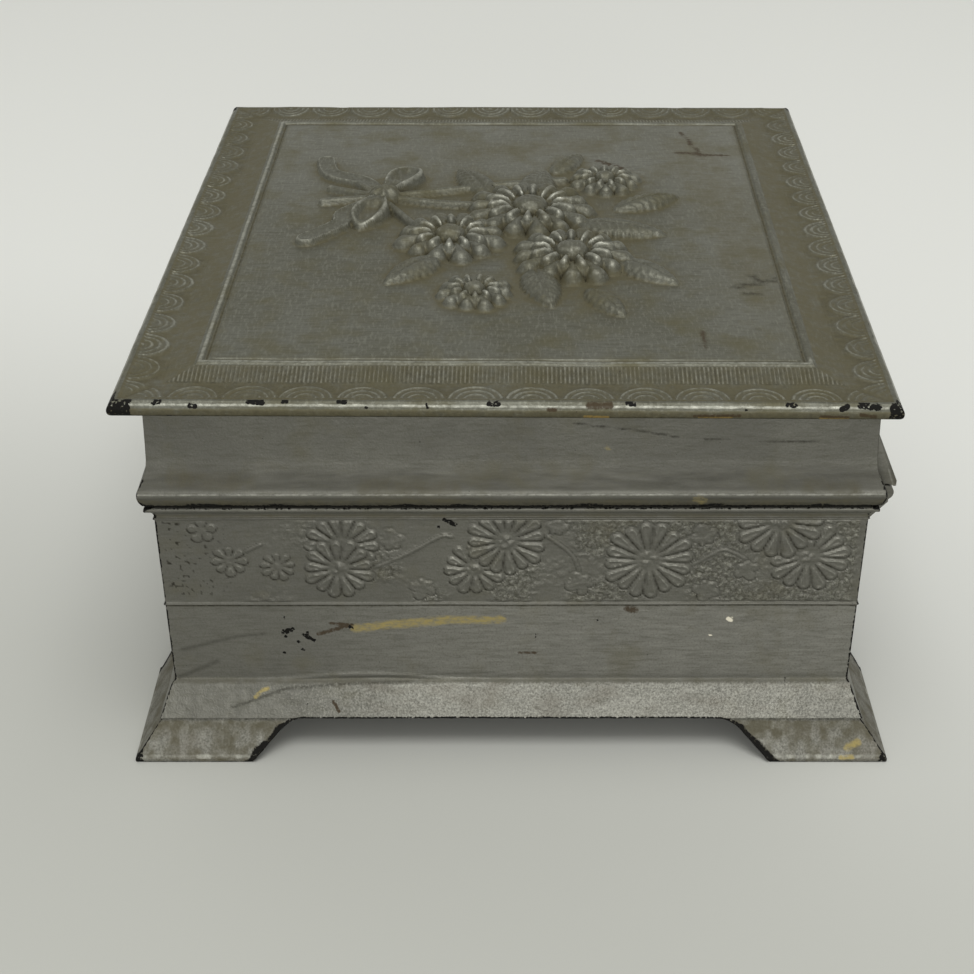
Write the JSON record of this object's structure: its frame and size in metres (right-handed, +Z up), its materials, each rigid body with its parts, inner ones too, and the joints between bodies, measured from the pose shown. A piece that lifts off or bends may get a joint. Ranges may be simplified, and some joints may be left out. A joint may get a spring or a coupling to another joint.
{
  "type": "trinket box",
  "caption": "Low rectangular cast metal keepsake box on bracket feet, with a daisy frieze, a back-hinged lid with relief flowers, and a padded cloth lining.",
  "frame": {"origin": "middle of the box's outline on the plane that the feet stand on", "axes": "+Z up, -Y to the front, +Y to the hinges, +X to the right seen from the front, along the longer side"},
  "size_m": [0.1156, 0.1058, 0.0595],
  "materials": {
    "silver_painted_casting": "dull silver-grey paint on cast white metal, worn bright on edges and chipped black",
    "patinated_lid_casting": "silver-grey paint with brown-olive patina in the hollows and bright worn ridges",
    "tinplate": "rolled sheet, dulled",
    "soft_solder": "dull grey, run smooth with the iron",
    "steel_wire": "drawn wire, tarnished",
    "lining_velvet": "short-pile cotton velvet"
  },
  "bodies": {
    "base": {"base_front_wall": "silver_painted_casting", "base_back_wall": "silver_painted_casting", "base_left_wall": "silver_painted_casting", "base_right_wall": "silver_painted_casting", "base_solder_front_left": "soft_solder", "base_solder_front_right": "soft_solder", "base_solder_back_right": "soft_solder", "base_solder_back_left": "soft_solder", "floor_plate": "tinplate", "floor_pad": "lining_velvet", "front_lining": "lining_velvet", "back_lining": "lining_velvet", "left_lining": "lining_velvet", "right_lining": "lining_velvet"},
    "lid": {"lid_top_plate": "patinated_lid_casting", "lid_front_skirt": "silver_painted_casting", "lid_back_skirt": "silver_painted_casting", "lid_left_skirt": "silver_painted_casting", "lid_right_skirt": "silver_painted_casting", "lid_solder_front_left": "soft_solder", "lid_solder_front_right": "soft_solder", "lid_solder_back_right": "soft_solder", "lid_solder_back_left": "soft_solder", "lid_pad": "lining_velvet", "left_hinge_pin": "steel_wire", "right_hinge_pin": "steel_wire"}
  },
  "joints": [
    {"name": "lid_hinge", "type": "hinge", "parent": "base", "child": "lid", "pos_m": [0, 0.049, 0.0409], "axis": [-1, 0, 0], "range_deg": [0, 100]}
  ]
}
